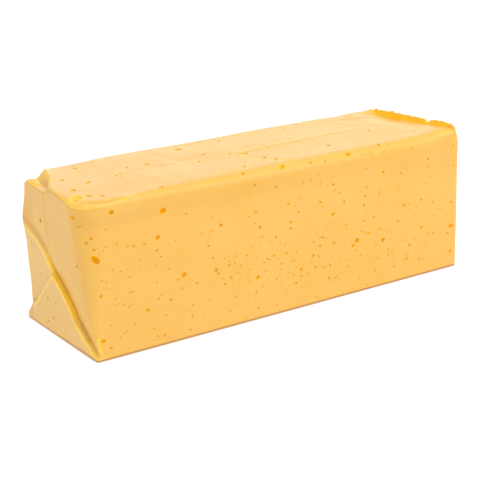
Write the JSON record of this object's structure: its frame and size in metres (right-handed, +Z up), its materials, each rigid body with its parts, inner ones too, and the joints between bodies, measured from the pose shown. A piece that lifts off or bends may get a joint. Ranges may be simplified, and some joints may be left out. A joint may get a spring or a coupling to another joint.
{
  "type": "american cheese loaf",
  "caption": "Rectangular loaf of processed cheese for slicing, with film folds on one end, a thin fin along one top edge and small gas pits.",
  "frame": {"origin": "under the middle of the loaf, on the surface that it rests on", "axes": "+X along the loaf away from the end with the long fold, +Y from the long side with most pits to the other long side, +Z up"},
  "size_m": [0.2744, 0.087, 0.0971],
  "materials": {
    "cheese": "firm processed cheese, smooth and slightly waxy, pale orange yellow, with deeper yellow in pits and folds"
  },
  "bodies": {
    "root": {"cheese_loaf": "cheese"}
  },
  "joints": []
}
